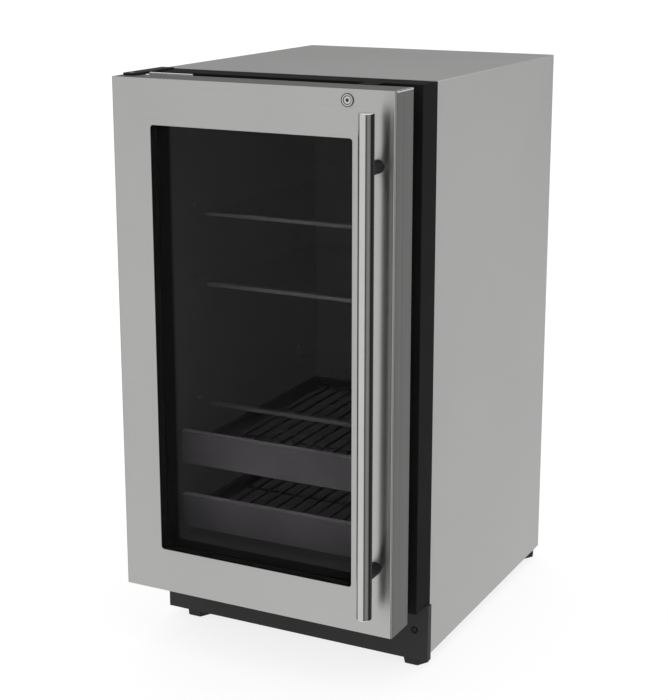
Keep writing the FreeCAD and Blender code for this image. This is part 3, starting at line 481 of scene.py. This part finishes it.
# ---- feet ------------------------------------------------------------------
# The pad's outline from the floor up: corner radius less the widest one, and height.
PAD_OUTLINE = ((-3.0, 0.0), (-1.4, 0.5), (-0.9, 1.6), (-0.3, 9.4), (-0.6, 10.0), (-1.5, 10.2), (-1.6, 11.8),
               (-0.5, 12.1), (0.0, 12.6), (0.0, 15.8), (-0.4, 16.6), (-1.4, 17.0), (-13.0, 17.0))
PAD_CORNERS = 6
PAD_CORNER_R = 2.6
PAD_CORNER_STEPS = 4      # from the middle of a rounded corner to its end

SHANK_R = 4.25
SHANK_STEPS = 36
SHANK_SINK = 1.0          # how far the shank goes into the pad
SHANK_CHAMFER = 0.8       # across and up, at the shank's top
THREAD_PITCH = 1.5
THREAD_STEPS = 20
# The thread's cross-section: radius, with its root inside the shank, and height from its middle.
THREAD_RIDGE = ((SHANK_R - 0.2, -0.6), (SHANK_R + 0.6, -0.12), (SHANK_R + 0.6, 0.12), (SHANK_R - 0.2, 0.6))


def rounded_hexagon(centre, corner_r, z):
    """Points of a hexagon with rounded corners and a flat facing the front."""
    half_turn = math.pi / PAD_CORNERS
    out = corner_r - PAD_CORNER_R / math.cos(half_turn)
    ring = []
    for along in circle(PAD_CORNERS):
        for step in range(-PAD_CORNER_STEPS, PAD_CORNER_STEPS + 1):
            turn = along + half_turn * step / PAD_CORNER_STEPS
            ring.append((centre.x + out * math.cos(along) + PAD_CORNER_R * math.cos(turn),
                         centre.y + out * math.sin(along) + PAD_CORNER_R * math.sin(turn), z))
    return ring


def thread_rings(centre, low_z, high_z):
    """The rings of a ridge that winds up a screw."""
    turns = int((high_z - low_z) / THREAD_PITCH) - 1
    rings = []
    for step in range(turns * THREAD_STEPS + 1):
        turn = 2 * math.pi * step / THREAD_STEPS
        z = low_z + THREAD_PITCH * (step / THREAD_STEPS + 0.5)
        rings.append([(centre.x + radius * math.cos(turn), centre.y + radius * math.sin(turn), z + rise)
                      for radius, rise in THREAD_RIDGE])
    return rings


def screw_foot(node_name):
    """A moulded hexagonal pad with a grip groove, on a threaded shank."""
    low, high = box_mm(node_name)
    centre = (low + high) / 2
    body = BODY_OF[node_name]
    widest = (high.x - low.x) / 2
    pad_rings = [rounded_hexagon(centre, widest + less, low.z + z) for less, z in PAD_OUTLINE]
    pad = piece(node_name + "_pad", *joined_rings(pad_rings), "foot_black", body)
    pad_top = low.z + PAD_OUTLINE[-1][1]
    thread_top = high.z - SHANK_CHAMFER
    shank_outline = ((SHANK_R, pad_top - SHANK_SINK), (SHANK_R, thread_top),
                     (SHANK_R - SHANK_CHAMFER, high.z))
    shank_rings = [[(centre.x + radius * math.cos(turn), centre.y + radius * math.sin(turn), z)
                    for turn in circle(SHANK_STEPS)] for radius, z in shank_outline]
    shank = piece(node_name + "_shank", *joined_rings(shank_rings), "screw_bright", body)
    ridge_rings = thread_rings(centre, pad_top, thread_top)
    ridge = piece(node_name + "_thread", *joined_rings(ridge_rings), "screw_bright", body, smooth=True)
    for made in (pad, shank, ridge):
        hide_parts(node_name)


# ---- face of the lock ------------------------------------------------------
RIM_SHADE_BAND = (-1.1, 0.1)       # a black ring, painted shade on the flange's rim: inner and outer radius less the flange's
GAP_SHADE_BAND = (5.8, 6.5)      # a black ring, painted shade in the gap round the plug: inner and outer radius
BAND_RISE = 0.3
BAND_SINK = 0.5
BAND_CHAMFER = 0.2
KEYHOLE_R = 2.3
KEYHOLE_SHADE = (1.2, 5.0)   # front and back of a dark disc, painted shade at the keyhole's bottom, behind the plug's face


def lock_trim():
    """Black rings on the lock's flange and a dark disc in the keyhole: painted shade on the rim, in the gap
    round the plug and in the keyhole.
    """
    low, high = box_mm("lock_body")
    x, z = (low.x + high.x) / 2, (low.z + high.z) / 2
    flange_r = (high.x - low.x) / 2
    front, shoulder, sunk = low.y - BAND_RISE, low.y - BAND_RISE / 2, low.y + BAND_SINK
    edge = [flange_r + more for more in RIM_SHADE_BAND]
    for name, (inner, outer) in (("lock_rim_shade", edge), ("lock_gap_shade", GAP_SHADE_BAND)):
        outline = ((inner, sunk), (inner, shoulder), (inner + BAND_CHAMFER, front),
                   (outer - BAND_CHAMFER, front), (outer, shoulder), (outer, sunk))
        turned(name, outline, x, z, "gasket", BODY_OF["lock_body"], closed=True)
    plug_face = box_mm("lock_plug")[0].y
    bottom = [(KEYHOLE_R, plug_face + behind) for behind in KEYHOLE_SHADE]
    turned("keyhole_shade", bottom, x, z, "gasket", BODY_OF["lock_plug"])


# ---- bright edges of the door ----------------------------------------------
# A hem folded over the door's upper side edges: how far out, and how far up, from the corner.
HEM = ((-2.6, -0.5), (-2.6, 0.15), (-1.3, 0.25), (0.25, -1.3), (0.15, -2.6), (-0.5, -2.6))
HEM_START = 2.5
HEM_EDGE = 0.2

LIP_LENGTH = 74.0
LIP_BEAD_R = 0.9
LIP_BEAD_STEPS = 20
LIP_BEAD_IN = 0.8             # the bead's middle line, in from the plate's back
LIP_BEAD_DOWN = 0.3           # and down from the lip's top
LIP_BEAD_TAPER = 0.5          # length of each tapered end
LIP_BEAD_END = 0.6            # share of the radius that is left at its tip


def door_hems():
    """A bright strip along each upper side edge of the door."""
    low, high = box_mm("door_skin")
    for name, side, corner in (("hem_left", -1, low.x), ("hem_right", 1, high.x)):
        rings = [[(corner + side * out, y, high.z + up) for out, up in HEM]
                 for y in (low.y + HEM_START, high.y)]
        piece(name, *joined_rings(rings), "bright_edge", BODY_OF["door_skin"], HEM_EDGE)


def hinge_lip_bead():
    """The rolled, polished top of the lip on the door's hinge plate."""
    high = box_mm("door_hinge_plate")[1]
    start = high.x - LIP_LENGTH
    y, z = high.y - LIP_BEAD_IN, high.z - LIP_BEAD_DOWN
    tip_r = LIP_BEAD_R * LIP_BEAD_END
    outline = ((start, tip_r), (start + LIP_BEAD_TAPER, LIP_BEAD_R),
               (high.x - LIP_BEAD_TAPER, LIP_BEAD_R), (high.x, tip_r))
    rings = [[(x, y + radius * math.cos(turn), z + radius * math.sin(turn))
              for turn in circle(LIP_BEAD_STEPS)] for x, radius in outline]
    piece("hinge_lip_bead", *joined_rings(rings), "bright_edge", BODY_OF["door_hinge_plate"])


# ---- front of the control case ---------------------------------------------
WINDOW_X = (12.0, 72.0)       # the window's ends, from the case's left end
WINDOW_HALF_H = 4.2
WINDOW_RISE = 0.5             # how far it stands out, and how far it goes into the case
WINDOW_EDGE = 0.4
DOMES = 4
DOME_INSET = 16.0             # the first dome, from the case's right end
DOME_SPACING = 15.0
# A dome's outline: radius, and how far behind the case's face.
DOME_OUTLINE = ((2.9, 0.5), (2.9, -0.2), (2.4, -0.6), (1.2, -0.8))


def control_display():
    """A dark window and a row of small domes on the front of the control case."""
    low, high = box_mm("control_panel")
    body = BODY_OF["control_panel"]
    middle = (low.z + high.z) / 2
    window_low = Vector((low.x + WINDOW_X[0], low.y - WINDOW_RISE, middle - WINDOW_HALF_H))
    window_high = Vector((low.x + WINDOW_X[1], low.y + WINDOW_RISE, middle + WINDOW_HALF_H))
    block("display_window", window_low, window_high, "gloss_black", body, WINDOW_EDGE)
    dome = [(radius, low.y + behind) for radius, behind in DOME_OUTLINE]
    for index in range(DOMES):
        x = high.x - DOME_INSET - DOME_SPACING * index
        turned(f"display_dome_{index + 1}", dome, x, middle, "trim_grey", body)


door_seal()
for node_name in list(NODES):
    if node_name.startswith("foot_"):
        screw_foot(node_name)
lock_trim()
door_hems()
hinge_lip_bead()
control_display()


# ---- camera ----------------------------------------------------------------
CAMERA_PLACE = (1.1027, -2.2116, 1.1083)
CAMERA_YAW = math.radians(26.80)        # turned left of straight in
CAMERA_PITCH = math.radians(13.81)      # tilted down
CAMERA_SHIFT = -0.06
SENSOR_MM = 36.0
FOCAL_LENGTHS = 16.0 / 7.0              # focal length over the long side of the picture


def camera():
    """The view from the front right, a little above the top."""
    data = bpy.data.cameras.new("camera")
    data.sensor_width = SENSOR_MM
    data.lens = FOCAL_LENGTHS * SENSOR_MM
    data.shift_y = CAMERA_SHIFT
    obj = bpy.data.objects.new("camera", data)
    SCENE.collection.objects.link(obj)
    obj.location = CAMERA_PLACE
    level = math.cos(CAMERA_PITCH)
    forward = Vector((-math.sin(CAMERA_YAW) * level, math.cos(CAMERA_YAW) * level,
                      -math.sin(CAMERA_PITCH)))
    obj.rotation_mode = "QUATERNION"
    obj.rotation_quaternion = forward.to_track_quat("-Z", "Y")
    SCENE.camera = obj


camera()


# ---- studio ----------------------------------------------------------------
WHITE = (1.0, 1.0, 1.0, 1.0)
WALL_R = 3.0
WALL_STEPS = 192
WALL_LEVELS = (-3.2, -1.3, -0.75, 0.25, 0.7, 1.6, 2.1, 3.4)
# azimuth from the front towards the right in degrees, then brightness at each of the levels
WALL_TONES = ((-180, 0.50, 0.48, 0.44, 0.34, 0.30, 0.24, 0.24, 0.30),
              (-125, 0.66, 0.64, 0.58, 0.46, 0.40, 0.30, 0.30, 0.36),
              (-112, 0.10, 0.10, 0.10, 0.10, 0.10, 0.30, 0.40, 0.50),
              (-98, 0.10, 0.10, 0.10, 0.10, 0.10, 0.30, 0.40, 0.50),
              (-80, 0.34, 0.34, 0.34, 0.34, 0.34, 0.50, 0.60, 0.68),
              (-66, 0.82, 0.80, 0.78, 0.78, 0.76, 0.71, 0.68, 0.68),
              (10, 0.82, 0.80, 0.78, 0.78, 0.76, 0.71, 0.68, 0.68),
              (20, 0.08, 0.08, 0.08, 0.08, 0.10, 0.45, 0.60, 0.70),
              (28, 0.08, 0.08, 0.08, 0.08, 0.10, 0.40, 0.60, 0.70),
              (36, 0.24, 0.24, 0.24, 0.24, 0.24, 0.50, 0.60, 0.70),
              (62, 0.30, 0.30, 0.30, 0.30, 0.30, 0.55, 0.60, 0.70),
              (76, 0.60, 0.50, 0.45, 0.45, 0.45, 0.60, 0.70, 0.75),
              (138, 0.65, 0.60, 0.55, 0.50, 0.50, 0.60, 0.75, 0.80),
              (150, 0.82, 0.80, 0.76, 0.68, 0.62, 0.52, 1.40, 1.50),
              (156, 0.90, 0.88, 0.81, 0.73, 0.66, 0.54, 1.40, 1.50),
              (163, 0.72, 0.70, 0.66, 0.58, 0.53, 0.46, 1.40, 1.50),
              (170, 0.70, 0.68, 0.62, 0.56, 0.50, 0.44, 1.40, 1.50),
              (180, 0.50, 0.48, 0.44, 0.34, 0.30, 0.24, 0.24, 0.30))


def wall_tone(turn, level):
    """Brightness of the wall at an azimuth in degrees, eased from one stop to the next."""
    for before, after in zip(WALL_TONES, WALL_TONES[1:]):
        if turn <= after[0]:
            share = (turn - before[0]) / (after[0] - before[0])
            share = share * share * (3 - 2 * share)
            return before[level + 1] * (1 - share) + after[level + 1] * share


def glow_of_attribute(name, attribute):
    """An emission material whose brightness is stored on the mesh's points."""
    material = bpy.data.materials.new(name)
    material.use_nodes = True
    tree = material.node_tree
    tree.nodes.clear()
    tone = tree.nodes.new("ShaderNodeAttribute")
    tone.attribute_name = attribute
    glow = tree.nodes.new("ShaderNodeEmission")
    tree.links.new(tone.outputs["Fac"], glow.inputs["Strength"])
    out = tree.nodes.new("ShaderNodeOutputMaterial")
    tree.links.new(glow.outputs[0], out.inputs["Surface"])
    return material


def studio_wall():
    """A round wall of soft light and shade that only reflections see."""
    points, tones, faces = [], [], []
    for level, z in enumerate(WALL_LEVELS):
        for i in range(WALL_STEPS):
            turn = 360 * i / WALL_STEPS - 180
            angle = math.radians(turn)
            points.append((WALL_R * math.sin(angle), -WALL_R * math.cos(angle), z))
            tones.append(wall_tone(turn, level))
    for level in range(len(WALL_LEVELS) - 1):
        for i in range(WALL_STEPS):
            j = (i + 1) % WALL_STEPS
            low_row, high_row = level * WALL_STEPS, (level + 1) * WALL_STEPS
            faces.append((low_row + i, low_row + j, high_row + j, high_row + i))
    mesh = bpy.data.meshes.new("studio_wall")
    mesh.from_pydata(points, [], faces)
    mesh.attributes.new("tone", "FLOAT", "POINT").data.foreach_set("value", tones)
    mesh.materials.append(glow_of_attribute("studio_wall", "tone"))
    wall = bpy.data.objects.new("studio_wall", mesh)
    SCENE.collection.objects.link(wall)
    wall.visible_camera = False
    wall.visible_diffuse = False
    wall.visible_shadow = False
    wall.visible_transmission = False


FLOOR_REACH = 60.0
FLOOR_GLOW = 0.82
FLOOR_TONE = 0.22


def floor():
    """A pale floor that glows a little, so that the shadow under the feet stays light."""
    mesh = bpy.data.meshes.new("floor")
    reach = FLOOR_REACH
    corners = [(-reach, -reach, 0), (reach, -reach, 0), (reach, reach, 0), (-reach, reach, 0)]
    mesh.from_pydata(corners, [], [(0, 1, 2, 3)])
    obj = bpy.data.objects.new("floor", mesh)
    SCENE.collection.objects.link(obj)
    s = Shader("floor", (FLOOR_TONE,) * 3, 0.8, 0.0, Specular_IOR_Level=0.0, Emission_Strength=FLOOR_GLOW)
    s.bsdf.inputs["Emission Color"].default_value = WHITE
    s.shade(s.spread(s.noise(2.0), 0.99, 1.0))
    obj.data.materials.append(s.mat)
    obj.visible_glossy = False


SKY_GLOW = 1.08


def sky():
    """Even white light from all around."""
    world = bpy.data.worlds.new("sky")
    world.use_nodes = True
    SCENE.world = world
    back = world.node_tree.nodes["Background"]
    back.inputs["Color"].default_value = WHITE
    back.inputs["Strength"].default_value = SKY_GLOW


studio_wall()
floor()
sky()
SCENE.view_settings.view_transform = "Standard"
SCENE.cycles.transparent_max_bounces = 32   # the view runs through many glass faces
SCENE.cycles.glossy_bounces = 1             # polished parts look dark in each other
